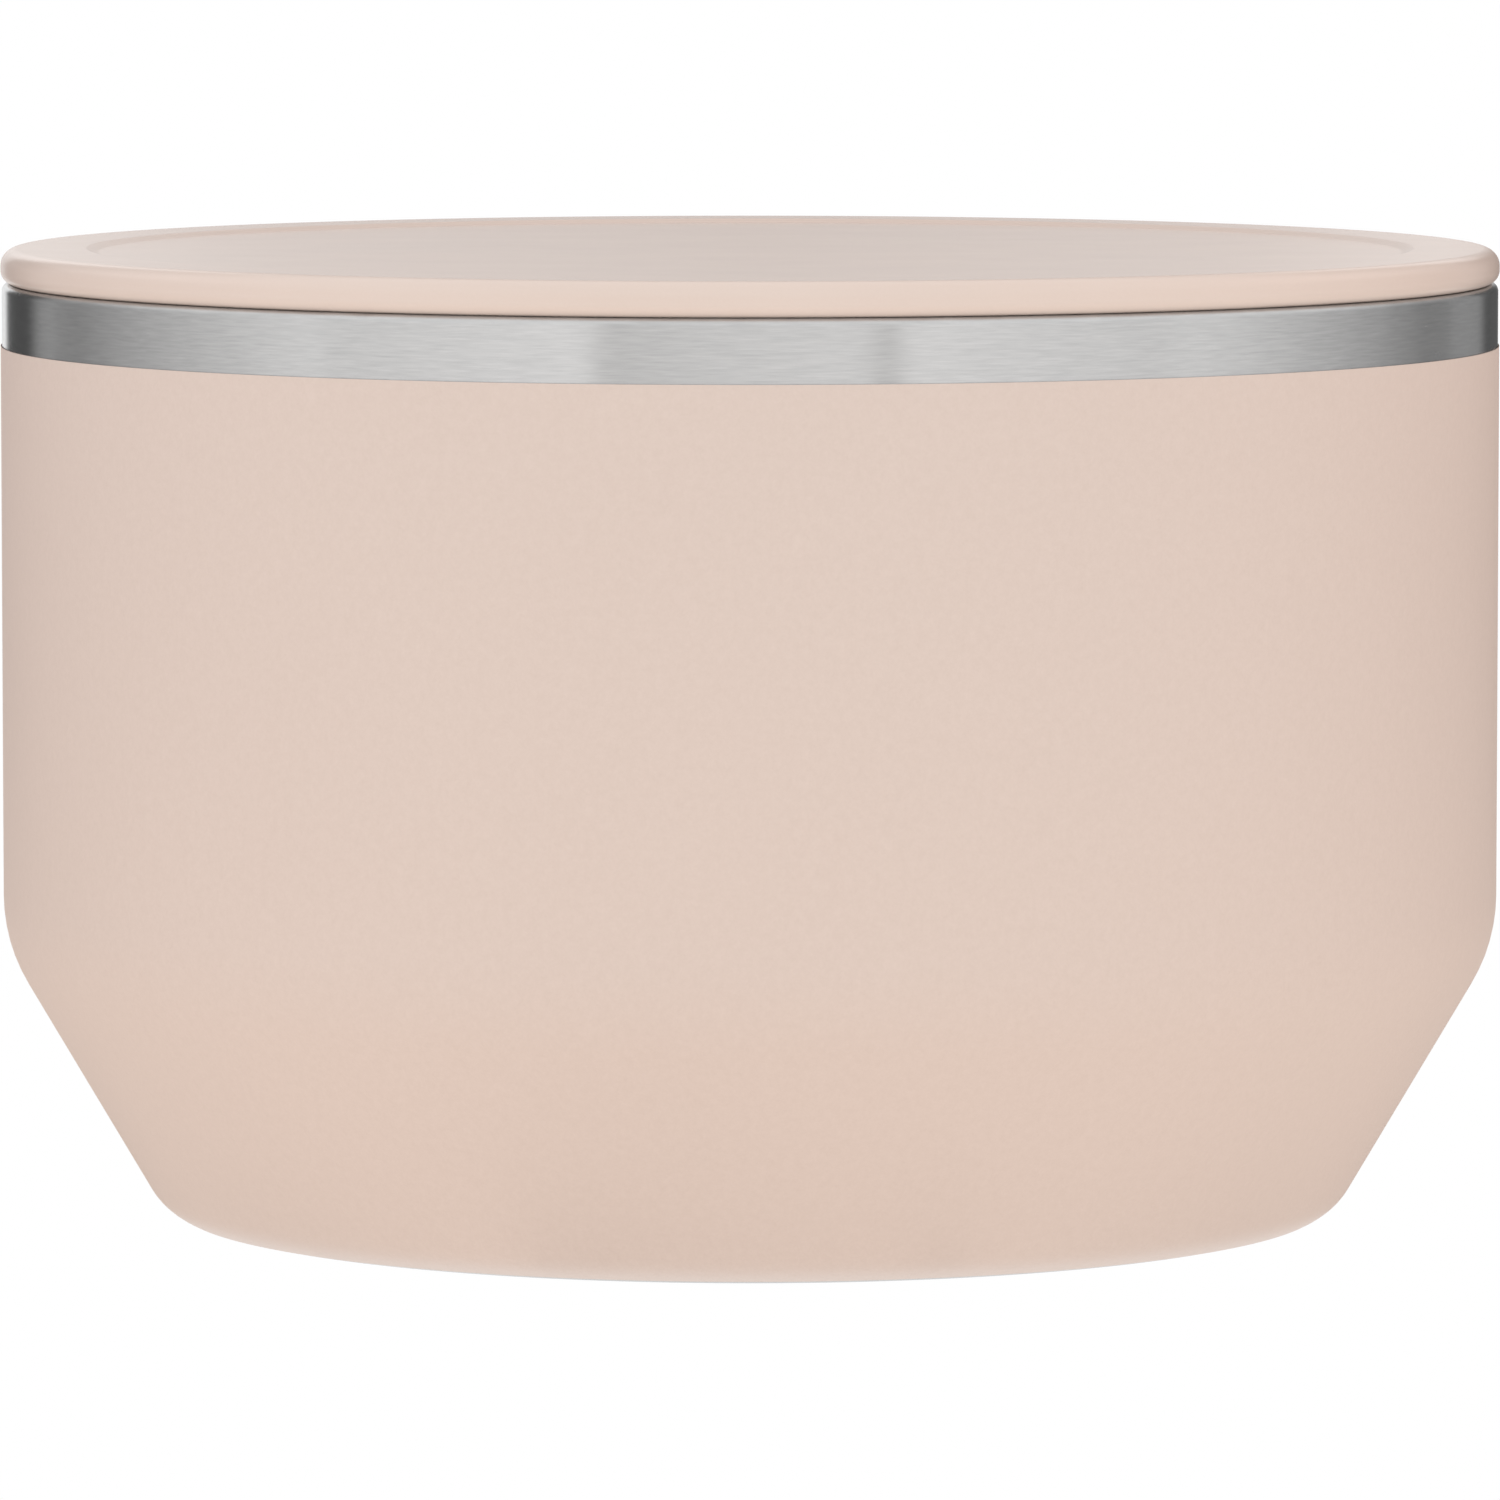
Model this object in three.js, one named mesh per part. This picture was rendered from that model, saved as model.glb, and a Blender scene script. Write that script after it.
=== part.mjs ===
// Insulated food container: a double-walled steel bowl with a chamfered base, a powder coat that
// stops below a bare steel band, and a push-on lid whose plug carries a silicone wiper seal.
// Millimetres, +Z up. The origin is on the axis, in the plane that the container stands on.
import * as THREE from "three";

// Bowl: the outside form
const outerDiameter = 140; // over the powder coat
const rimHeight = 87.5; // mouth land above the table
const shoulderHeight = 26.2; // where the wall line meets the chamfer line
const baseRadius = 54.6; // where the chamfer line meets the table
const shoulderRounding = 15.6;
const baseRounding = 6.2;
const coatThickness = 0.12;
const coatBond = 0.02; // modelled gap between coat and steel
const coatFootHeight = 0.4; // the coat is masked off this far above the table
const steelBandHeight = 5.6; // bare steel left between the coat and the rim

// Bowl: the walls
const shellGauge = 0.6;
const linerGauge = 0.5;
const vacuumGap = 2.8;
const floorHeight = 9.5; // food side of the liner's floor
const linerFloorRounding = 11;
const linerShoulderRounding = 13;
const mouthRounding = 1.4;
const lipRounding = 0.6;
const lipWidth = 1.7; // how far the shell's lip turns in over the mouth
const weldGap = 0.05;

// Base: the plate that closes the vacuum space, and its cover
const footRecessRadius = 45;
const footRecessRounding = 0.9;
const footFlangeTop = 3.6;
const plateGauge = 0.6;
const plateHeight = 3; // underside of the plate above the table
const plateRounding = 0.9;
const plateFlangeFoot = 0.7;
const portRadius = 0.8;
const dimpleRadius = 3.4;
const dimpleDepth = 2;
const dimpleSlope = 1.4;
const capGauge = 0.5;
const capHeight = 1.1; // underside of the cap above the table
const capFlangeGap = 0.1; // from the cap's flange to the plate's rounding
const capRounding = 0.7;
const capPanelRadius = 33;
const capPanelRise = 0.4;
const beadGap = 0.3;
const beadHeight = 1.5;

// Getter: the pill that keeps the vacuum, under its strap
const getterOffset = 24;
const getterRadius = 4;
const getterThickness = 2.4;
const getterRounding = 0.4;
const strapWidth = 3.2;
const strapGauge = 0.4;
const strapFootLength = 2.4;
const strapGap = 0.3;

// Lid
const lidEdgeThickness = 3.15;
const lidTopRounding = 0.9;
const lidUnderRounding = 1.8;
const lidShadowGap = 0.3; // between the lid's edge and the mouth land
const seatFit = 0.02; // between the lid's seat and the mouth land
const seatInset = 0.25; // the seat stops this far short of the shell's lip
const dishRadius = 62;
const dishDepth = 0.45;
const dishSlope = 1.1;
const dishRounding = 0.8;
const panelThickness = 2.1;
const skirtClearance = 2; // between the plug and the liner's mouth
const skirtWall = 2.6;
const skirtDepth = 8; // plug below the mouth land
const skirtRounding = 0.6;
const grooveDepth = 1.3;
const grooveHeight = 4;
const grooveLand = 1.6; // plug below the groove

// Seal
const sealFit = 0.1; // between the seal and its groove
const finCount = 2;
const finRoot = 1;
const finTip = 0.5;
const finRise = 0.5;
const finGap = 0.3; // from the pressed fin to the liner

// How finely the round forms are cut
const turnSteps = 48;
const smallTurnSteps = 24;
const chordError = 0.06;
const fewestArcSteps = 2;
const filletShare = 0.48; // the most of a straight run that a rounding may use up

const outerRadius = outerDiameter / 2;
const steelRadius = outerRadius - coatThickness;
const wallStack = shellGauge + vacuumGap + linerGauge;
const linerRadius = steelRadius - wallStack;
const coatTop = rimHeight - steelBandHeight;
const lipRadius = steelRadius - lipWidth;
const plateTop = plateHeight + plateGauge;
const plateFlangeRadius = footRecessRadius - weldGap - plateGauge;
const lidUnder = rimHeight + lidShadowGap;
const lidSeat = rimHeight + seatFit;
const seatRadius = lipRadius - seatInset;
const lidTop = lidUnder + lidEdgeThickness;
const dishFloor = lidTop - dishDepth;
const skirtRadius = linerRadius - skirtClearance;
const skirtFoot = rimHeight - skirtDepth;
const grooveRadius = skirtRadius - grooveDepth;
const grooveFoot = skirtFoot + grooveLand;
const grooveTop = grooveFoot + grooveHeight;

// Corners are [radius from the axis, height, rounding]. This limits each rounding to its straight runs.
function fitted(corners) {
  return corners.map(([r, z, rounding = 0], i) => {
    if (i === 0 || i === corners.length - 1) return [r, z, 0];
    const { back, ahead, halfAngle } = bend(corners, i);
    const room = filletShare * Math.min(back.length(), ahead.length());
    return [r, z, Math.min(rounding, room * Math.tan(halfAngle))];
  });
}

// The two runs that leave a corner, and half the angle between them
function bend(corners, i) {
  const [before, at, after] = corners.slice(i - 1, i + 2).map(([r, z]) => new THREE.Vector2(r, z));
  const back = before.sub(at);
  const ahead = after.sub(at);
  return { at, back, ahead, halfAngle: back.angleTo(ahead) / 2 };
}

// Turns a run of fitted corners into outline points, with an arc at each rounding.
function rounded(corners) {
  return corners.flatMap(([r, z, radius], i) => {
    if (!radius) return [new THREE.Vector2(r, z)];
    const { at, back, ahead, halfAngle } = bend(corners, i);
    const side = Math.sign(back.cross(ahead));
    const inward = back.normalize().add(ahead.normalize()).normalize();
    const centre = at.addScaledVector(inward, radius / Math.sin(halfAngle));
    const halfTurn = Math.PI / 2 - halfAngle;
    const widestStep = 2 * Math.acos(1 - Math.min(chordError / radius, 1));
    const steps = Math.max(fewestArcSteps, Math.ceil((2 * halfTurn) / widestStep));
    const middle = inward.negate().angle();
    return Array.from({ length: steps + 1 }, (_, k) => {
      const angle = middle + side * halfTurn * (1 - (2 * k) / steps);
      return new THREE.Vector2(Math.cos(angle), Math.sin(angle)).multiplyScalar(radius).add(centre);
    });
  });
}

// The same run of corners moved sideways, to the left of the way it is travelled.
function offset(corners, distance) {
  const at = corners.map(([r, z]) => new THREE.Vector2(r, z));
  const along = at.slice(1).map((p, i) => p.clone().sub(at[i]).normalize());
  return corners.map(([r, z, rounding], i) => {
    const before = along[Math.max(i - 1, 0)];
    const after = along[Math.min(i, along.length - 1)];
    const turn = before.cross(after);
    const reach = distance / (1 + before.dot(after));
    const moved = [r - (before.y + after.y) * reach, z + (before.x + after.x) * reach];
    return [...moved, rounding && Math.max(rounding - Math.sign(turn) * distance, 0)];
  });
}

// A closed outline of sheet metal: one face as drawn, the other to its left by the gauge.
function sheet(corners, gauge) {
  const face = fitted(corners);
  return [...rounded(face), ...rounded(offset(face, gauge)).reverse()];
}

// The part of an outline above a height, cut where the outline crosses it.
function above(outline, height) {
  return outline.flatMap((point, i) => {
    const next = outline[i + 1];
    const kept = point.y >= height ? [point] : [];
    const crosses = next && point.y >= height !== next.y >= height;
    if (!crosses) return kept;
    return [...kept, point.clone().lerp(next, (height - point.y) / (next.y - point.y))];
  });
}

// A closed outline turned about Z. The outline runs with its material on the left.
function turned(outline, steps = turnSteps) {
  const profile = [...outline];
  if (profile[0].x > 0) profile.push(profile[0].clone());
  return new THREE.LatheGeometry(profile, steps).rotateX(Math.PI / 2);
}

const brushedSteel = { color: 0xb9bab8, roughness: 0.34, metalness: 1 };
const linerSteel = { color: 0xc2c2bf, roughness: 0.28, metalness: 1 };
const peachCoat = { color: 0xe0c9bb, roughness: 0.55, metalness: 0 };
const peachPlastic = { color: 0xe3cfc2, roughness: 0.45, metalness: 0 };
const silicone = { color: 0xe6e1da, roughness: 0.6, metalness: 0 };
const solderGlass = { color: 0x6b6f6a, roughness: 0.3, metalness: 0 };
const getterAlloy = { color: 0x4a4744, roughness: 0.8, metalness: 0.6 };

function piece(name, geometry, finish) {
  const mesh = new THREE.Mesh(geometry, new THREE.MeshStandardMaterial(finish));
  mesh.name = name;
  return mesh;
}

// The outside face of the steel, from the foot's return flange out, up the wall and over the lip
const shellFace = [
  [footRecessRadius, footFlangeTop],
  [footRecessRadius, 0, footRecessRounding],
  [baseRadius - coatThickness, 0, baseRounding],
  [steelRadius, shoulderHeight, shoulderRounding],
  [steelRadius, rimHeight, lipRounding],
  [lipRadius, rimHeight],
];

function outerShell() {
  return turned(sheet(shellFace, shellGauge));
}

// The coat lies on the shell from its masked edge at the foot up to the bare band.
function powderCoat() {
  const [, , footCorner, shoulderCorner] = fitted(shellFace);
  const coated = [[footRecessRadius, 0, 0], footCorner, shoulderCorner, [steelRadius, coatTop, 0]];
  const outside = above(rounded(offset(coated, -coatThickness)), coatFootHeight);
  const bonded = above(rounded(offset(coated, -coatBond)), coatFootHeight);
  return turned([...outside, ...bonded.reverse()]);
}

// The liner keeps the vacuum gap from the shell's wall and chamfer, and flares into the mouth land.
function innerLiner() {
  const [, low, high] = offset(shellFace.slice(1), wallStack);
  const floorShare = (floorHeight - low[1]) / (high[1] - low[1]);
  const floorRadius = low[0] + floorShare * (high[0] - low[0]);
  const foodFace = [
    [lipRadius - weldGap, rimHeight],
    [linerRadius, rimHeight, mouthRounding],
    [linerRadius, high[1], linerShoulderRounding],
    [floorRadius, floorHeight, linerFloorRounding],
    [0, floorHeight],
  ];
  return turned(sheet(foodFace, linerGauge));
}

// The base plate's dimple holds the evacuation port, and its flange is welded inside the foot.
function basePlate() {
  const underside = [
    [portRadius, plateHeight + dimpleDepth],
    [dimpleRadius, plateHeight + dimpleDepth],
    [dimpleRadius + dimpleSlope, plateHeight],
    [plateFlangeRadius, plateHeight, plateRounding],
    [plateFlangeRadius, plateFlangeFoot],
  ];
  return turned(sheet(underside, plateGauge));
}

function baseCap() {
  const capRadius = plateFlangeRadius - weldGap;
  const underside = [
    [0, capHeight + capPanelRise],
    [capPanelRadius, capHeight + capPanelRise],
    [capPanelRadius + capPanelRise, capHeight],
    [capRadius, capHeight, capRounding],
    [capRadius, plateHeight - plateRounding - capFlangeGap],
  ];
  return turned(sheet(underside, capGauge));
}

// A bead of solder glass melted into the dimple, over the port
function vacuumSeal() {
  const ceiling = plateHeight + dimpleDepth;
  const radius = dimpleRadius - beadGap;
  const bottom = ceiling - beadHeight;
  const bead = [[0, bottom], [radius, bottom, beadHeight], [radius, ceiling], [0, ceiling]];
  return turned(rounded(fitted(bead)), smallTurnSteps);
}

function getter() {
  const topEdge = [getterRadius, getterThickness, getterRounding];
  const pill = [[0, 0], [getterRadius, 0], topEdge, [0, getterThickness]];
  return turned(rounded(fitted(pill)), smallTurnSteps);
}

// A hat-section strap over the pill, with two feet spot-welded to the base plate
function getterStrap() {
  const innerHalf = getterRadius + strapGap;
  const innerTop = getterThickness + strapGap;
  const outerHalf = innerHalf + strapGauge;
  const footEnd = outerHalf + strapFootLength;
  const right = [
    [innerHalf, innerTop],
    [innerHalf, 0],
    [footEnd, 0],
    [footEnd, strapGauge],
    [outerHalf, strapGauge],
    [outerHalf, innerTop + strapGauge],
  ];
  const left = right.map(([x, y]) => [-x, y]).reverse();
  const hat = new THREE.Shape([...right, ...left].map(([x, y]) => new THREE.Vector2(x, y)));
  const strap = new THREE.ExtrudeGeometry(hat, { depth: strapWidth, bevelEnabled: false });
  return strap.translate(0, 0, -strapWidth / 2).rotateX(Math.PI / 2);
}

// The lid in one moulding: dished panel, rounded flange, and a plug skirt grooved for the seal
function lid() {
  const panelUnder = dishFloor - panelThickness;
  const skirtInside = skirtRadius - skirtWall;
  const moulding = [
    [0, panelUnder],
    [skirtInside, panelUnder, skirtRounding],
    [skirtInside, skirtFoot, skirtRounding],
    [skirtRadius, skirtFoot, skirtRounding],
    [skirtRadius, grooveFoot],
    [grooveRadius, grooveFoot],
    [grooveRadius, grooveTop],
    [skirtRadius, grooveTop],
    [skirtRadius, lidSeat],
    [seatRadius, lidSeat],
    [seatRadius, lidUnder],
    [outerRadius, lidUnder, lidUnderRounding],
    [outerRadius, lidTop, lidTopRounding],
    [dishRadius, lidTop, dishRounding],
    [dishRadius - dishSlope, dishFloor, dishRounding],
    [0, dishFloor],
  ];
  return turned(rounded(fitted(moulding)));
}

// The seal: a band in the groove, with fins that wipe the liner's wall
function lidSeal() {
  const inside = grooveRadius + sealFit;
  const foot = grooveFoot + sealFit;
  const top = grooveTop - sealFit;
  const tipRadius = linerRadius - finGap;
  const pitch = (top - foot) / finCount;
  const fins = Array.from({ length: finCount }, (_, i) => {
    const root = foot + pitch * i + (pitch - finRoot) / 2;
    const tip = root + finRise + (finRoot - finTip) / 2;
    return [
      [skirtRadius, root],
      [tipRadius, tip],
      [tipRadius, tip + finTip],
      [skirtRadius, root + finRoot],
    ];
  });
  const section = [[inside, foot], [skirtRadius, foot], ...fins.flat(), [skirtRadius, top], [inside, top]];
  return turned(rounded(fitted(section)));
}

const getterGroup = new THREE.Group();
getterGroup.position.set(getterOffset, 0, plateTop);
getterGroup.add(piece("getter", getter(), getterAlloy), piece("getter_strap", getterStrap(), brushedSteel));

const bowl = new THREE.Group();
bowl.add(
  piece("outer_shell", outerShell(), brushedSteel),
  piece("powder_coat", powderCoat(), peachCoat),
  piece("inner_liner", innerLiner(), linerSteel),
  piece("base_plate", basePlate(), brushedSteel),
  piece("base_cap", baseCap(), brushedSteel),
  piece("vacuum_seal", vacuumSeal(), solderGlass),
  getterGroup,
);

const lidGroup = new THREE.Group();
lidGroup.add(piece("lid", lid(), peachPlastic), piece("lid_seal", lidSeal(), silicone));

const container = new THREE.Group();
container.add(bowl, lidGroup);

export default container;
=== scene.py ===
# Insulated food bowl: peach coat on steel, a bare brushed band at the mouth, and a lift-off lid.
import math

import bmesh
import bpy
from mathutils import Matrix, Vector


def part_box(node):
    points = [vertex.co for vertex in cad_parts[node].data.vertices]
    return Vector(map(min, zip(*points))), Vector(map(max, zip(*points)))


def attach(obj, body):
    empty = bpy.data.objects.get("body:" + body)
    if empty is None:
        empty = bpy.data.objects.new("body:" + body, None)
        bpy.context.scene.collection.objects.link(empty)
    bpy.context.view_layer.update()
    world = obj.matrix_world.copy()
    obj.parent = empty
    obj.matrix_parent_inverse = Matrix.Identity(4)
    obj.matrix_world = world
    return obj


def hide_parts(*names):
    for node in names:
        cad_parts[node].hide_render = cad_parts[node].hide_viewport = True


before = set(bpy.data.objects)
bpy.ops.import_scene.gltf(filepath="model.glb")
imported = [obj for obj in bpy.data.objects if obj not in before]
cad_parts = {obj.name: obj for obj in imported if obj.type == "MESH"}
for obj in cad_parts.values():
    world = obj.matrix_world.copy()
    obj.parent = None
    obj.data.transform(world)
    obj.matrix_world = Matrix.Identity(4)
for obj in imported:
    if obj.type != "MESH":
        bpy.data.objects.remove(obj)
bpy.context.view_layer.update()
print("frame loaded:", ", ".join(sorted(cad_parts)))

mm = 0.001  # outlines are in millimetres, Blender is in metres
fine = {
    "segments": 192,
    "arcStep": math.radians(6),
    "fewestSteps": 3,
    "sharpAngle": math.radians(40),
    "axisRadius": 1e-6,  # a point nearer than this lies on the axis
}


def span(node):
    # a turned piece's radius, foot and top, in millimetres
    low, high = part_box(node)
    return high.x / mm, low.z / mm, high.z / mm


def bend(corners, i):
    # unit runs back and ahead from a corner, and half the angle between them
    (r0, z0), (r1, z1), (r2, z2) = [corner[:2] for corner in corners[i - 1:i + 2]]
    backLength = math.hypot(r0 - r1, z0 - z1)
    aheadLength = math.hypot(r2 - r1, z2 - z1)
    back = ((r0 - r1) / backLength, (z0 - z1) / backLength)
    ahead = ((r2 - r1) / aheadLength, (z2 - z1) / aheadLength)
    cosine = back[0] * ahead[0] + back[1] * ahead[1]
    return back, ahead, math.acos(max(-1.0, min(1.0, cosine))) / 2


def roundOff(corners):
    # corners are (radius, height) or (radius, height, rounding); each rounding becomes an arc
    points = []
    for i, (r, z, *rounding) in enumerate(corners):
        radius = rounding[0] if rounding else 0
        if radius <= 0 or i in (0, len(corners) - 1):
            points.append((r, z))
            continue
        back, ahead, halfAngle = bend(corners, i)
        side = math.copysign(1, back[0] * ahead[1] - back[1] * ahead[0])
        inward = math.atan2(back[1] + ahead[1], back[0] + ahead[0])
        reach = radius / math.sin(halfAngle)
        centre = (r + reach * math.cos(inward), z + reach * math.sin(inward))
        halfTurn = math.pi / 2 - halfAngle
        steps = max(fine["fewestSteps"], math.ceil(2 * halfTurn / fine["arcStep"]))
        for k in range(steps + 1):
            angle = inward + math.pi + side * halfTurn * (1 - 2 * k / steps)
            arcR = centre[0] + radius * math.cos(angle)
            arcZ = centre[1] + radius * math.sin(angle)
            points.append((arcR, arcZ))
    return points


def moved(corners, distance):
    # the same run of corners, shifted to the left of the way it is travelled
    made = []
    runs = []
    for (r0, z0, *_), (r1, z1, *_) in zip(corners, corners[1:]):
        length = math.hypot(r1 - r0, z1 - z0)
        runs.append(((r1 - r0) / length, (z1 - z0) / length))
    for i, (r, z, *rounding) in enumerate(corners):
        before = runs[max(i - 1, 0)]
        after = runs[min(i, len(runs) - 1)]
        turning = before[0] * after[1] - before[1] * after[0]
        reach = distance / (1 + before[0] * after[0] + before[1] * after[1])
        radius = 0
        if rounding:
            radius = max(rounding[0] - math.copysign(distance, distance * turning), 0)
        movedR = r - (before[1] + after[1]) * reach
        movedZ = z + (before[0] + after[0]) * reach
        made.append((movedR, movedZ, radius))
    return made


def sheet(corners, gauge):
    # closed outline of sheet metal, its second face to the left of the first
    return roundOff(corners) + roundOff(moved(corners, gauge))[::-1]


def above(points, height):
    # the part of an open outline above a height
    kept = []
    for point, after in zip(points, points[1:] + [None]):
        if point[1] >= height:
            kept.append(point)
        if after and (point[1] >= height) != (after[1] >= height):
            share = (height - point[1]) / (after[1] - point[1])
            kept.append((point[0] + share * (after[0] - point[0]), height))
    return kept


def turn(name, outline, body, node, finish):
    # turns a closed outline about Z; the outline runs with its material on the left
    mesh = bmesh.new()
    count = fine["segments"]
    angles = [2 * math.pi * i / count for i in range(count)]
    rings = []
    for r, z in outline:
        if r < fine["axisRadius"]:
            rings.append([mesh.verts.new((0, 0, z * mm))] * count)
            continue
        spots = [(r * mm * math.cos(a), r * mm * math.sin(a), z * mm) for a in angles]
        rings.append([mesh.verts.new(spot) for spot in spots])
    for lower, upper in zip(rings, rings[1:] + rings[:1]):
        for i in range(count):
            j = (i + 1) % count
            corners = list(dict.fromkeys((lower[i], lower[j], upper[j], upper[i])))
            if len(corners) > 2:  # two points on the axis span no face
                mesh.faces.new(corners).smooth = True
    for edge in mesh.edges:
        edge.smooth = edge.calc_face_angle(0) < fine["sharpAngle"]
    data = bpy.data.meshes.new(name)
    mesh.to_mesh(data)
    mesh.free()
    piece = bpy.data.objects.new(name, data)
    bpy.context.scene.collection.objects.link(piece)
    # long walls keep their own normal beside small roundings
    weighted = piece.modifiers.new("even shading", "WEIGHTED_NORMAL")
    weighted.keep_sharp = True
    data.materials.append(finish)
    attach(piece, body)
    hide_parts(node)
    print("turned", name, len(data.polygons), "faces")


class Wire:
    # one shader socket: arithmetic on wires adds Math nodes, and add() makes any other node

    def __init__(self, tree, socket=None):
        self.tree = tree
        self.socket = socket

    def add(self, kind, settings=None, sockets=None, out=0):
        made = self.tree.nodes.new("ShaderNode" + kind)
        for name, value in (settings or {}).items():
            if name == "stops":
                Wire.setStops(made.color_ramp, value)
            else:
                setattr(made, name, value)
        for name, value in (sockets or {}).items():
            if isinstance(value, Wire):
                self.tree.links.new(value.socket, made.inputs[name])
            else:
                made.inputs[name].default_value = value
        return Wire(self.tree, made.outputs[out] if made.outputs else None)

    @staticmethod
    def setStops(ramp, stops):
        while len(ramp.elements) < len(stops):
            ramp.elements.new(1.0)
        for element, (position, colour) in zip(ramp.elements, stops):
            element.position = position
            element.color = colour

    def calc(self, operation, *terms):
        return self.add("Math", {"operation": operation}, dict(enumerate(terms)))

    def __add__(self, other):
        return self.calc("ADD", self, other)

    def __radd__(self, other):
        return self.calc("ADD", other, self)

    def __sub__(self, other):
        return self.calc("SUBTRACT", self, other)

    def __rsub__(self, other):
        return self.calc("SUBTRACT", other, self)

    def __mul__(self, other):
        return self.calc("MULTIPLY", self, other)

    def __rmul__(self, other):
        return self.calc("MULTIPLY", other, self)

    def __truediv__(self, other):
        return self.calc("DIVIDE", self, other)

    def __rtruediv__(self, other):
        return self.calc("DIVIDE", other, self)


def newPaint(name):
    paint = bpy.data.materials.new(name)
    paint.use_nodes = True
    paint.node_tree.nodes.clear()
    return paint, Wire(paint.node_tree)


noiseMean = 0.5  # a noise swings about this


def noise(start, place, scale, detail=2.0, roughness=0.5):
    sockets = {"Vector": place, "Scale": scale, "Detail": detail, "Roughness": roughness}
    return start.add("TexNoise", {"noise_dimensions": "3D"}, sockets)


def blend(start, factor, first, second, kind="MIX"):
    # mixes two colours; 6 and 7 are the Mix node's colour sockets, 2 its colour output
    settings = {"data_type": "RGBA", "blend_type": kind}
    return start.add("Mix", settings, {0: factor, 6: first, 7: second}, out=2)


def ramp(start, value, low, high):
    # 0 up to low, 1 from high on
    return start.add("MapRange", {}, {"Value": value, "From Min": low, "From Max": high})


def bump(start, height):
    return start.add("Bump", {}, {"Strength": 1.0, "Distance": 1.0, "Height": height})


def axesOf(start):
    place = start.add("TexCoord", out="Object")
    return [start.add("SeparateXYZ", {}, {0: place}, out=axis) for axis in "XYZ"]


def surface(start, sockets):
    shader = start.add("BsdfPrincipled", {}, sockets)
    start.add("OutputMaterial", {}, {"Surface": shader})


def grey(value):
    return (value, value, value, 1.0)


# Peach powder coat: fine matte grain with a slight orange peel
coat = {
    "colour": (0.690, 0.567, 0.500, 1.0),
    "paleColour": (0.778, 0.655, 0.588, 1.0),
    "roughness": 0.55,
    "roughnessSpread": 0.10,
    "grainScale": 3600,
    "peelScale": 1300,
    "cloudScale": 45,
    "grainShare": 0.42,
    "peelShare": 0.48,
    "cloudShare": 0.10,
    "grainDepth": 0.012 * mm,
    "peelDepth": 0.010 * mm,
    "ior": 1.48,
    "specular": 0.35,
    "bond": 0.02,  # between coat and steel, in millimetres
}


def coatFinish():
    paint, start = newPaint("peach_powder_coat")
    place = start.add("TexCoord", out="Object")
    grain = noise(start, place, coat["grainScale"], detail=1.0)
    peel = noise(start, place, coat["peelScale"])
    cloud = noise(start, place, coat["cloudScale"])
    mottle = grain * coat["grainShare"] + peel * coat["peelShare"] + cloud * coat["cloudShare"]
    surface(start, {
        "Base Color": blend(start, mottle, coat["colour"], coat["paleColour"]),
        "Roughness": coat["roughness"] + (peel - noiseMean) * coat["roughnessSpread"],
        "Normal": bump(start, grain * coat["grainDepth"] + peel * coat["peelDepth"]),
        "IOR": coat["ior"],
        "Specular IOR Level": coat["specular"],
    })
    return paint


# Brushed steel: fine scratches and broader streaks that run around the axis
steel = {
    "colour": grey(0.72),
    "darkColour": grey(0.48),
    "roughness": 0.25,
    "roughnessSpread": 0.08,
    "scratchLength": 380,  # marks per metre along the brushing
    "scratchWidth": 5800,  # and across it
    "streakLength": 280,
    "streakWidth": 3800,
    "scratchShare": 0.6,
    "streakShare": 0.4,
    "ringShare": 0.7,  # the radius counts across the brushing too, so that it rings flat faces
    "depth": 0.0015 * mm,
    "anisotropy": 1.0,
    "lightTurn": 0.25,  # a quarter turn spreads the light across the scratches
}


def brushedFinish(name, dressing):
    paint, start = newPaint(name)
    x, y, z = axesOf(start)
    across = z + start.calc("SQRT", x * x + y * y) * dressing["ringShare"]

    def brushed(length, width, detail):
        place = {"X": x * length, "Y": y * length, "Z": across * width}
        return noise(start, start.add("CombineXYZ", {}, place), 1.0, detail, roughness=0.6)

    scratch = brushed(dressing["scratchLength"], dressing["scratchWidth"], detail=2.0)
    streak = brushed(dressing["streakLength"], dressing["streakWidth"], detail=1.0)
    marks = scratch * dressing["scratchShare"] + streak * dressing["streakShare"]
    surface(start, {
        "Base Color": blend(start, marks, dressing["darkColour"], dressing["colour"]),
        "Metallic": 1.0,
        "Roughness": dressing["roughness"] + (streak - noiseMean) * dressing["roughnessSpread"],
        "Normal": bump(start, scratch * dressing["depth"]),
        "Anisotropic": dressing["anisotropy"],
        "Anisotropic Rotation": dressing["lightTurn"],
    })
    return paint


# Satin peach plastic of the lid
lidPlastic = {
    "colour": (0.757, 0.622, 0.546, 1.0),
    "paleColour": (0.797, 0.665, 0.591, 1.0),
    "roughness": 0.24,
    "roughnessSpread": 0.06,
    "grainScale": 4200,
    "cloudScale": 60,
    "grainShare": 0.4,
    "cloudShare": 0.6,
    "grainDepth": 0.002 * mm,
    "ior": 1.48,
}


def lidFinish():
    paint, start = newPaint("peach_satin_plastic")
    place = start.add("TexCoord", out="Object")
    grain = noise(start, place, lidPlastic["grainScale"], detail=1.0)
    cloud = noise(start, place, lidPlastic["cloudScale"], detail=3.0)
    mottle = grain * lidPlastic["grainShare"] + cloud * lidPlastic["cloudShare"]
    surface(start, {
        "Base Color": blend(start, mottle, lidPlastic["colour"], lidPlastic["paleColour"]),
        "Roughness": lidPlastic["roughness"] + (cloud - noiseMean) * lidPlastic["roughnessSpread"],
        "Normal": bump(start, grain * lidPlastic["grainDepth"]),
        "IOR": lidPlastic["ior"],
    })
    return paint


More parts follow.
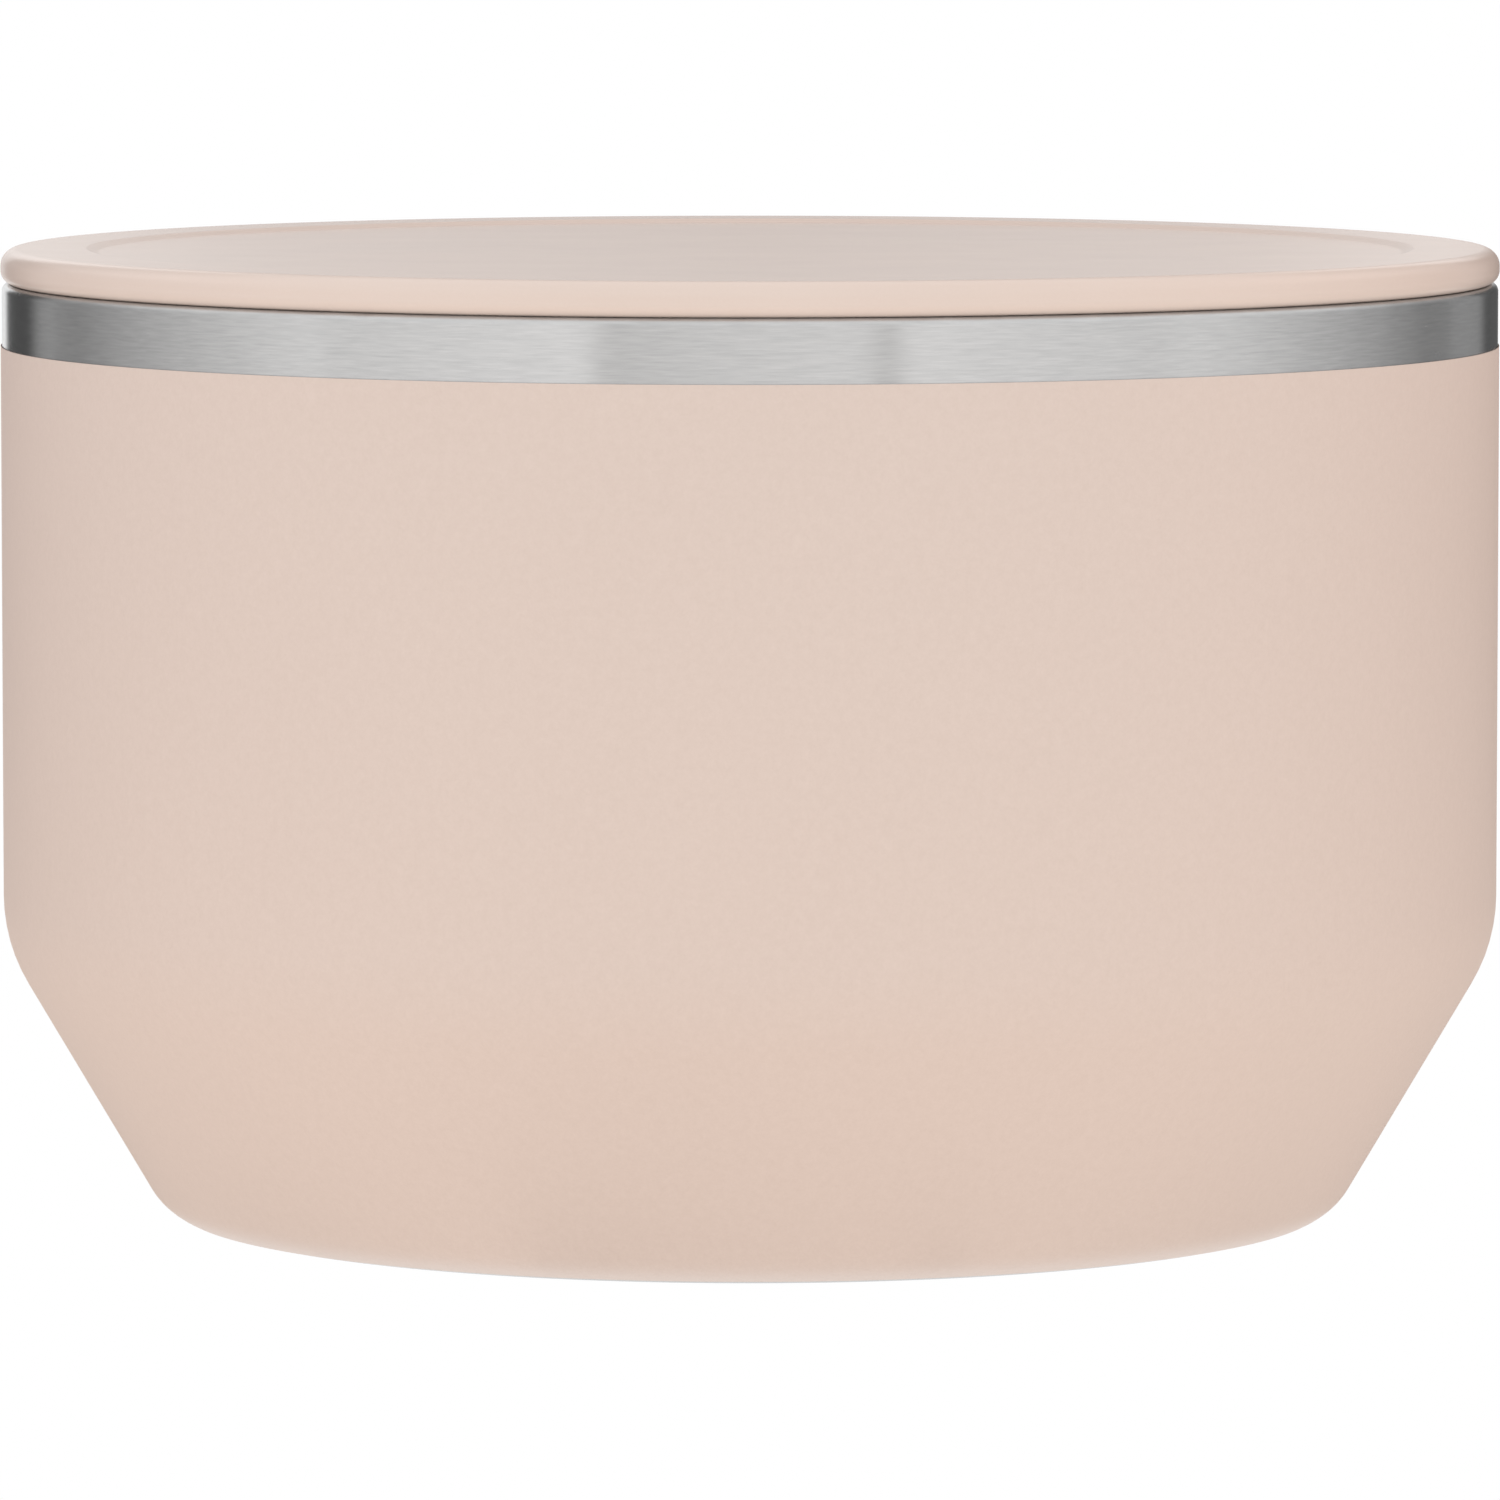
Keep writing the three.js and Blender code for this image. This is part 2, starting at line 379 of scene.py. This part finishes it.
# Milky silicone of the seal
silicone = {
    "colour": (0.72, 0.68, 0.63, 1.0),
    "paleColour": (0.80, 0.77, 0.73, 1.0),
    "roughness": 0.55,
    "cloudScale": 160,
    "grainScale": 2600,
    "grainDepth": 0.004 * mm,
    "ior": 1.41,
    "milk": 0.15,
    "milkDepth": 1.5 * mm,
}


def siliconeFinish():
    paint, start = newPaint("milky_silicone")
    place = start.add("TexCoord", out="Object")
    cloud = noise(start, place, silicone["cloudScale"])
    grain = noise(start, place, silicone["grainScale"])
    surface(start, {
        "Base Color": blend(start, cloud, silicone["colour"], silicone["paleColour"]),
        "Roughness": silicone["roughness"],
        "Normal": bump(start, grain * silicone["grainDepth"]),
        "IOR": silicone["ior"],
        "Subsurface Weight": silicone["milk"],
        "Subsurface Scale": silicone["milkDepth"],
    })
    return paint


# Solder glass that closes the port: dark, glossy, with drowned bubbles
solderGlass = {
    "colour": (0.115, 0.125, 0.110, 1.0),
    "paleColour": (0.190, 0.205, 0.180, 1.0),
    "roughness": 0.18,
    "bubbleScale": 1900,
    "bubbleDepth": 0.02 * mm,
    "ior": 1.62,
}


def solderGlassFinish():
    paint, start = newPaint("solder_glass")
    place = start.add("TexCoord", out="Object")
    sockets = {"Vector": place, "Scale": solderGlass["bubbleScale"]}
    bubbles = start.add("TexVoronoi", {"feature": "SMOOTH_F1"}, sockets)
    surface(start, {
        "Base Color": blend(start, bubbles, solderGlass["colour"], solderGlass["paleColour"]),
        "Roughness": solderGlass["roughness"],
        "Normal": bump(start, bubbles * solderGlass["bubbleDepth"]),
        "IOR": solderGlass["ior"],
    })
    return paint


# Sintered alloy of the getter: dark, matte and porous
getterAlloy = {
    "colour": (0.045, 0.042, 0.040, 1.0),
    "paleColour": (0.120, 0.110, 0.100, 1.0),
    "metallic": 0.6,
    "roughness": 0.78,
    "poreScale": 3400,
    "poreDepth": 0.05 * mm,
}


def getterFinish():
    paint, start = newPaint("sintered_alloy")
    place = start.add("TexCoord", out="Object")
    pores = noise(start, place, getterAlloy["poreScale"], detail=4.0, roughness=0.7)
    surface(start, {
        "Base Color": blend(start, pores, getterAlloy["colour"], getterAlloy["paleColour"]),
        "Metallic": getterAlloy["metallic"],
        "Roughness": getterAlloy["roughness"],
        "Normal": bump(start, pores * getterAlloy["poreDepth"]),
    })
    return paint


# The liner is spun, with longer and paler marks; the plate and strap are pressed, with blunt ones
linerSteel = dict(steel, darkColour=grey(0.56), roughness=0.28, anisotropy=0.8)
linerSteel.update(scratchLength=70, scratchWidth=4200, streakLength=18, streakWidth=1100)
pressedSteel = dict(steel, roughness=0.36, anisotropy=0.3)
pressedSteel.update(scratchLength=260, scratchWidth=900, depth=0.004 * mm)
peachCoat = coatFinish()
bandSteel = brushedFinish("brushed_steel", steel)
spunSteel = brushedFinish("spun_steel", linerSteel)
plateSteel = brushedFinish("pressed_steel", pressedSteel)
peachPlastic = lidFinish()
milkySilicone = siliconeFinish()
print("finishes mixed")

# The steel shell: foot recess, chamfer, straight wall and the lip that turns in at the mouth
steelRadius, _, rim = span("outer_shell")
shell = {
    "gauge": 0.6,
    "recessRadius": 45.0,
    "recessTop": 3.6,
    "recessRounding": 0.9,
    "baseRadius": 54.48,
    "baseRounding": 6.2,
    "shoulderHeight": 26.2,
    "shoulderRounding": 15.6,
    "lipRounding": 0.7,
    "lipWidth": 1.7,
    "lipRise": 0.2,  # the weld bead stands this much over the mouth land
}
footCorner = (shell["baseRadius"], 0, shell["baseRounding"])
shoulderCorner = (steelRadius, shell["shoulderHeight"], shell["shoulderRounding"])
lipRadius = steelRadius - shell["lipWidth"]
lipTop = rim + shell["lipRise"]
shellFace = [
    (shell["recessRadius"], shell["recessTop"]),
    (shell["recessRadius"], 0, shell["recessRounding"]),
    footCorner,
    shoulderCorner,
    (steelRadius, lipTop, shell["lipRounding"]),
    (lipRadius, lipTop),
]
shellOutline = sheet(shellFace, shell["gauge"])
turn("steel_shell", shellOutline, "container", "outer_shell", bandSteel)

# The coat on it, from the masked foot to the bare band
coatRadius, coatFoot, coatTop = span("powder_coat")
coatThickness = coatRadius - steelRadius
coatLine = [(shell["recessRadius"], 0), footCorner, shoulderCorner, (steelRadius, coatTop)]
outside = above(roundOff(moved(coatLine, -coatThickness)), coatFoot)
inside = above(roundOff(moved(coatLine, -coat["bond"])), coatFoot)
turn("peach_coat", outside + inside[::-1], "container", "powder_coat", peachCoat)

# The liner: floor, chamfer and wall on the food side, flaring into the mouth land
_, linerFoot, _ = span("inner_liner")
liner = {
    "gauge": 0.5,
    "vacuumGap": 2.8,
    "floorRounding": 11,
    "shoulderRounding": 13,
    "mouthRounding": 1.4,
    "seam": 0.01,
}
wallStack = shell["gauge"] + liner["vacuumGap"] + liner["gauge"]
linerRadius = steelRadius - wallStack
floorHeight = linerFoot + liner["gauge"]
_, chamferLow, chamferHigh, *_ = moved(shellFace[1:], wallStack)
floorShare = (floorHeight - chamferLow[1]) / (chamferHigh[1] - chamferLow[1])
floorRadius = chamferLow[0] + floorShare * (chamferHigh[0] - chamferLow[0])
foodFace = [
    (lipRadius - liner["seam"], rim),
    (linerRadius, rim, liner["mouthRounding"]),
    (linerRadius, chamferHigh[1], liner["shoulderRounding"]),
    (floorRadius, floorHeight, liner["floorRounding"]),
    (0, floorHeight),
]
linerOutline = sheet(foodFace, liner["gauge"])
turn("food_liner", linerOutline, "container", "inner_liner", spunSteel)

# The cap in the foot's recess
capRadius, capFoot, capTop = span("base_cap")
cap = {
    "gauge": 0.5,
    "panelRadius": 33.0,
    "panelRise": 0.4,
    "panelRounding": 0.3,
    "rimRounding": 0.7,
}
capFace = [
    (0, capFoot + cap["panelRise"]),
    (cap["panelRadius"], capFoot + cap["panelRise"], cap["panelRounding"]),
    (cap["panelRadius"] + cap["panelRise"], capFoot, cap["panelRounding"]),
    (capRadius, capFoot, cap["rimRounding"]),
    (capRadius, capTop),
]
capOutline = sheet(capFace, cap["gauge"])
turn("foot_cap", capOutline, "container", "base_cap", spunSteel)

# What is shut inside the base keeps its CAD shape and gets its finish
innerFinishes = {
    "base_plate": plateSteel,
    "getter_strap": plateSteel,
    "vacuum_seal": solderGlassFinish(),
    "getter": getterFinish(),
}
for node, finish in innerFinishes.items():
    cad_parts[node].data.materials.clear()
    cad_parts[node].data.materials.append(finish)
print("inner pieces finished")

# The lid: dished panel, rounded edge, seat on the mouth land, and a plug grooved for the seal
lidRadius, plugFoot, lidTop = span("lid")
sealTip, sealFoot, sealTop = span("lid_seal")
lid = {
    "edgeThickness": 3.23,
    "topRounding": 1.6,
    "underRounding": 1.2,
    "dishRadius": 62.0,
    "dishDepth": 0.40,
    "dishSlope": 1.1,
    "dishRounding": 1.0,
    "panelThickness": 2.1,
    "seatInset": 0.25,
    "seatFit": 0.02,
    "plugClearance": 2.0,
    "plugWall": 2.6,
    "plugRounding": 0.6,
    "grooveDepth": 1.3,
    "grooveFit": 0.1,
}
lidUnder = lidTop - lid["edgeThickness"]
dishFloor = lidTop - lid["dishDepth"]
panelUnder = dishFloor - lid["panelThickness"]
plugRadius = linerRadius - lid["plugClearance"]
plugInside = plugRadius - lid["plugWall"]
grooveRadius = plugRadius - lid["grooveDepth"]
grooveFoot = sealFoot - lid["grooveFit"]
grooveTop = sealTop + lid["grooveFit"]
seatRadius = lipRadius - lid["seatInset"]
seatHeight = rim + lid["seatFit"]
lidOutline = roundOff([
    (0, panelUnder),
    (plugInside, panelUnder, lid["plugRounding"]),
    (plugInside, plugFoot, lid["plugRounding"]),
    (plugRadius, plugFoot, lid["plugRounding"]),
    (plugRadius, grooveFoot),
    (grooveRadius, grooveFoot),
    (grooveRadius, grooveTop),
    (plugRadius, grooveTop),
    (plugRadius, seatHeight),
    (seatRadius, seatHeight),
    (seatRadius, lidUnder),
    (lidRadius, lidUnder, lid["underRounding"]),
    (lidRadius, lidTop, lid["topRounding"]),
    (lid["dishRadius"], lidTop, lid["dishRounding"]),
    (lid["dishRadius"] - lid["dishSlope"], dishFloor, lid["dishRounding"]),
    (0, dishFloor),
])
turn("peach_lid", lidOutline, "lid", "lid", peachPlastic)

# The seal: a band in the groove with fins that wipe the liner
seal = {
    "finCount": 2,
    "finRoot": 1.0,
    "finTip": 0.5,
    "finRise": 0.5,
    "tipRounding": 0.2,
    "rootRounding": 0.15,
}
sealInside = grooveRadius + lid["grooveFit"]
sealPitch = (sealTop - sealFoot) / seal["finCount"]
sealCorners = [(sealInside, sealFoot), (plugRadius, sealFoot)]
for i in range(seal["finCount"]):
    root = sealFoot + sealPitch * i + (sealPitch - seal["finRoot"]) / 2
    tip = root + seal["finRise"] + (seal["finRoot"] - seal["finTip"]) / 2
    sealCorners += [
        (plugRadius, root, seal["rootRounding"]),
        (sealTip, tip, seal["tipRounding"]),
        (sealTip, tip + seal["finTip"], seal["tipRounding"]),
        (plugRadius, root + seal["finRoot"], seal["rootRounding"]),
    ]
sealCorners += [(plugRadius, sealTop), (sealInside, sealTop)]
turn("wiper_seal", roundOff(sealCorners), "lid", "lid_seal", milkySilicone)

# The camera stands where the photo was taken from
camera = {
    "distance": 1.1107,
    "height": 0.1404,
    "pitch": math.radians(4.978),
    "lens": 285.0,
    "sensor": 36.0,
    "farthest": 60,
}
eye = bpy.data.cameras.new("photo_view")
eye.lens = camera["lens"]
eye.sensor_width = camera["sensor"]
eye.clip_end = camera["farthest"]
eyeObject = bpy.data.objects.new("photo_view", eye)
eyeObject.location = (0, -camera["distance"], camera["height"])
eyeObject.rotation_euler = (math.pi / 2 - camera["pitch"], 0, 0)
bpy.context.scene.collection.objects.link(eyeObject)
bpy.context.scene.camera = eyeObject
print("camera placed")

# Studio: a white floor, a light tent and cards, which light the bowl and hide from the camera
studio = {
    "floorSize": 30.0,
    "tentRadius": 0.28,
    "tentHeight": 0.40,
    "hemRadius": 0.056,  # the tent's hem lies on the floor from here out
    "hemFoot": 0.0001,
    "hemRise": 0.012,  # and rises to its wall
    "hemGlow": 0.75,  # behind, the hem has this one even light
    "hemShare": 0.8,  # up to this share of its rise
    "evenFrom": 118,  # degrees round where that begins, and is full
    "evenFull": 132,
    "backFrom": 0.080,  # metres behind the axis where the dark back begins, and is full
    "backFull": 0.190,
    "cardRadius": 0.27,
    "tentSteps": 96,
}
# degrees round from the camera, right positive, and how bright the tent is there
tentPanels = [
    (-180, 0.55),
    (-168, 0.64),
    (-163, 0.85),
    (-157, 0.95),
    (-150, 1.00),
    (-148, 0.09),
    (-132, 0.09),
    (-126, 0.39),
    (-120.5, 0.39),
    (-118.5, 0.33),
    (-112, 0.33),
    (-62, 1.00),
    (-58, 0.91),
    (-21.5, 1.10),
    (-19.5, 0.78),
    (-8, 0.90),
    (0, 0.94),
    (15.5, 1.00),
    (17.5, 0.72),
    (18.5, 0.72),
    (21, 1.07),
    (56, 0.90),
    (64, 0.96),
    (114, 0.28),
    (121.5, 0.28),
    (123.5, 0.36),
    (137, 0.33),
    (141, 0.10),
    (157, 0.10),
    (163, 0.88),
    (168, 0.64),
    (180, 0.55),
]
floorTint = (1.0, 0.91, 0.85)
whiteTint = (1.0, 1.0, 1.0)
roseTint = (1.0, 0.80, 0.85)
amberTint = (1.0, 0.48, 0.30)
# height in metres, how much of the panels shows there, the plain light added, the tint of both,
# and how far it is dark behind
tentLevels = [
    (0.0, 0.35, 0.57, floorTint, 0.0),
    (0.0026, 0.42, 0.68, floorTint, 0.0),
    (0.0057, 0.50, 0.60, floorTint, 0.0),
    (0.0078, 0.85, 0.24, floorTint, 0.0),
    (0.0118, 1.00, 0.00, whiteTint, 0.0),
    (0.165, 1.00, 0.00, whiteTint, 0.0),
    (0.210, 0.09, 0.97, whiteTint, 0.66),
    (0.385, 0.09, 0.97, whiteTint, 0.66),
    (0.400, 0.00, 0.98, whiteTint, 0.0),
]
# degrees round from the camera, half the width, foot and top in metres, how bright, the tint,
# and whether the steel mirrors it or it only fills the shade
cards = [
    (180, 0.110, 0.013, 0.084, 3.6, whiteTint, False),
    (-152, 0.024, 0.150, 0.310, 1.2, whiteTint, True),
    (152, 0.024, 0.150, 0.310, 1.1, whiteTint, True),
    (-95, 0.100, 0.200, 0.300, 2.2, roseTint, False),
    (95, 0.100, 0.200, 0.300, 2.5, amberTint, False),
]


def stageObject(data, finish):
    made = bpy.data.objects.new(data.name, data)
    bpy.context.scene.collection.objects.link(made)
    data.materials.append(finish)
    return made


def glowing(start, colour):
    glow = start.add("Emission", {}, {"Color": colour, "Strength": 1.0})
    start.add("OutputMaterial", {}, {"Surface": glow})


def tentFinish():
    paint, start = newPaint("tent_panels")
    x, y, z = axesOf(start)
    share = start.calc("ARCTAN2", x, y * -1) / (2 * math.pi) + 0.5
    panelStops = [(0.5 + degrees / 360, grey(glow)) for degrees, glow in tentPanels]
    strengthStops = []
    plainStops = []
    darkStops = []
    for height, strength, plain, tint, dark in tentLevels:
        place = height / studio["tentHeight"]
        strengthStops.append((place, (*[strength * part for part in tint], 1.0)))
        plainStops.append((place, (*[plain * part for part in tint], 1.0)))
        darkStops.append((place, grey(dark)))
    level = z / studio["tentHeight"]
    wall = start.add("ValToRGB", {"stops": panelStops}, {0: share})
    aside = start.calc("ABSOLUTE", share - 0.5) * 360
    around = ramp(start, aside, studio["evenFrom"], studio["evenFull"])
    low = ramp(start, z, studio["hemRise"], studio["hemShare"] * studio["hemRise"])
    panels = blend(start, around * low, wall, grey(studio["hemGlow"]))
    strength = start.add("ValToRGB", {"stops": strengthStops}, {0: level})
    plain = start.add("ValToRGB", {"stops": plainStops}, {0: level})
    dark = start.add("ValToRGB", {"stops": darkStops}, {0: level})
    behind = ramp(start, y, studio["backFrom"], studio["backFull"])
    light = blend(start, 1.0, blend(start, 1.0, panels, strength, "MULTIPLY"), plain, "ADD")
    glowing(start, blend(start, 1.0, light, 1 - dark * behind, "MULTIPLY"))
    return paint


def floorMesh():
    half = studio["floorSize"] / 2
    corners = [(-half, -half, 0), (half, -half, 0), (half, half, 0), (-half, half, 0)]
    data = bpy.data.meshes.new("floor")
    data.from_pydata(corners, [], [(0, 1, 2, 3)])
    return data


def tentMesh():
    data = bpy.data.meshes.new("tent")
    steps = studio["tentSteps"]
    rings = [
        (studio["hemRadius"], studio["hemFoot"]),
        (studio["tentRadius"], studio["hemRise"]),
        (studio["tentRadius"], studio["tentHeight"]),
    ]
    points = []
    for radius, height in rings:
        for i in range(steps):
            angle = 2 * math.pi * (i + 0.5) / steps
            points.append((radius * math.cos(angle), radius * math.sin(angle), height))
    faces = []
    for first in range(0, steps * (len(rings) - 1), steps):
        for i in range(steps):
            j = (i + 1) % steps
            faces.append((first + i, first + j, first + steps + j, first + steps + i))
    roof = len(points)
    points.append((0, 0, studio["tentHeight"]))
    for i in range(steps):
        faces.append((roof - steps + i, roof - steps + (i + 1) % steps, roof))
    data.from_pydata(points, [], faces)
    return data


def cardMesh(degrees, half, foot, top):
    # an upright card that faces the axis
    angle = math.radians(degrees)
    away = studio["cardRadius"]
    corners = []
    for along, z in ((-half, foot), (half, foot), (half, top), (-half, top)):
        x = away * math.sin(angle) + along * math.cos(angle)
        y = along * math.sin(angle) - away * math.cos(angle)
        corners.append((x, y, z))
    data = bpy.data.meshes.new("card")
    data.from_pydata(corners, [], [(0, 1, 2, 3)])
    return data


def glowFinish(name, glow, tint):
    paint, start = newPaint(name)
    glowing(start, (*[glow * part for part in tint], 1.0))
    return paint


lights = [
    stageObject(floorMesh(), glowFinish("white_floor", 1.0, whiteTint)),
    stageObject(tentMesh(), tentFinish()),
]
for *place, glow, tint, mirrored in cards:
    lights.append(stageObject(cardMesh(*place), glowFinish("card", glow, tint)))
    lights[-1].visible_glossy = mirrored
for light in lights:
    light.visible_camera = False  # the camera sees the bowl against the white room

world = bpy.data.worlds.new("white_room")
world.use_nodes = True
world.node_tree.nodes["Background"].inputs["Color"].default_value = grey(1.0)
bpy.context.scene.world = world
bpy.context.scene.view_settings.view_transform = "Standard"
print("studio lit")
